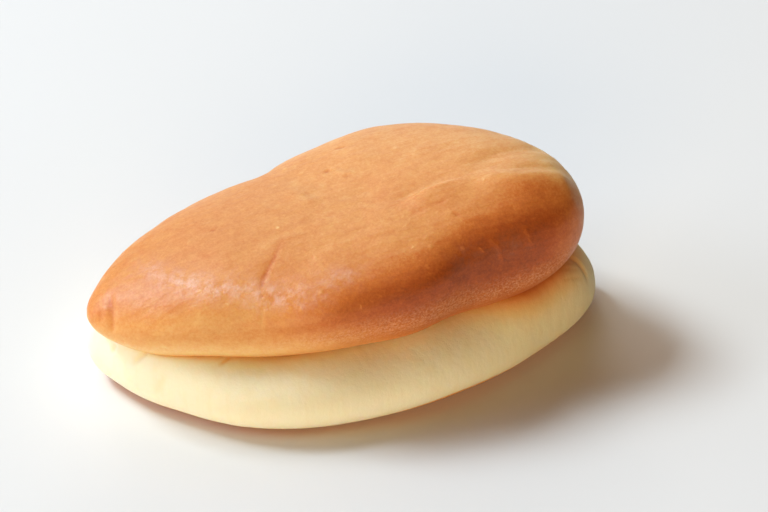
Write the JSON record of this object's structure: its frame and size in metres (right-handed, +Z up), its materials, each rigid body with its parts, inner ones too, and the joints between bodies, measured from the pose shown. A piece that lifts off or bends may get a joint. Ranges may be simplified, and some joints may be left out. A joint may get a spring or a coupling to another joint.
{
  "type": "custard bun",
  "caption": "Soft oval sweet bun, one piece of dough folded over its filling, with a browned top leaf above a pale lower leaf and an open seam along the front.",
  "frame": {"origin": "middle of the bun's box, on the surface that it lies on", "axes": "+X along the bun towards its plump end, +Y towards the folded side, away from the open seam, +Z up"},
  "size_m": [0.132, 0.0784, 0.0484],
  "materials": {
    "baked_dough": "soft baked crust, golden brown on top with a faint sheen, pale cream where the lower leaf was shaded"
  },
  "bodies": {
    "root": {"bun": "baked_dough"}
  },
  "joints": []
}
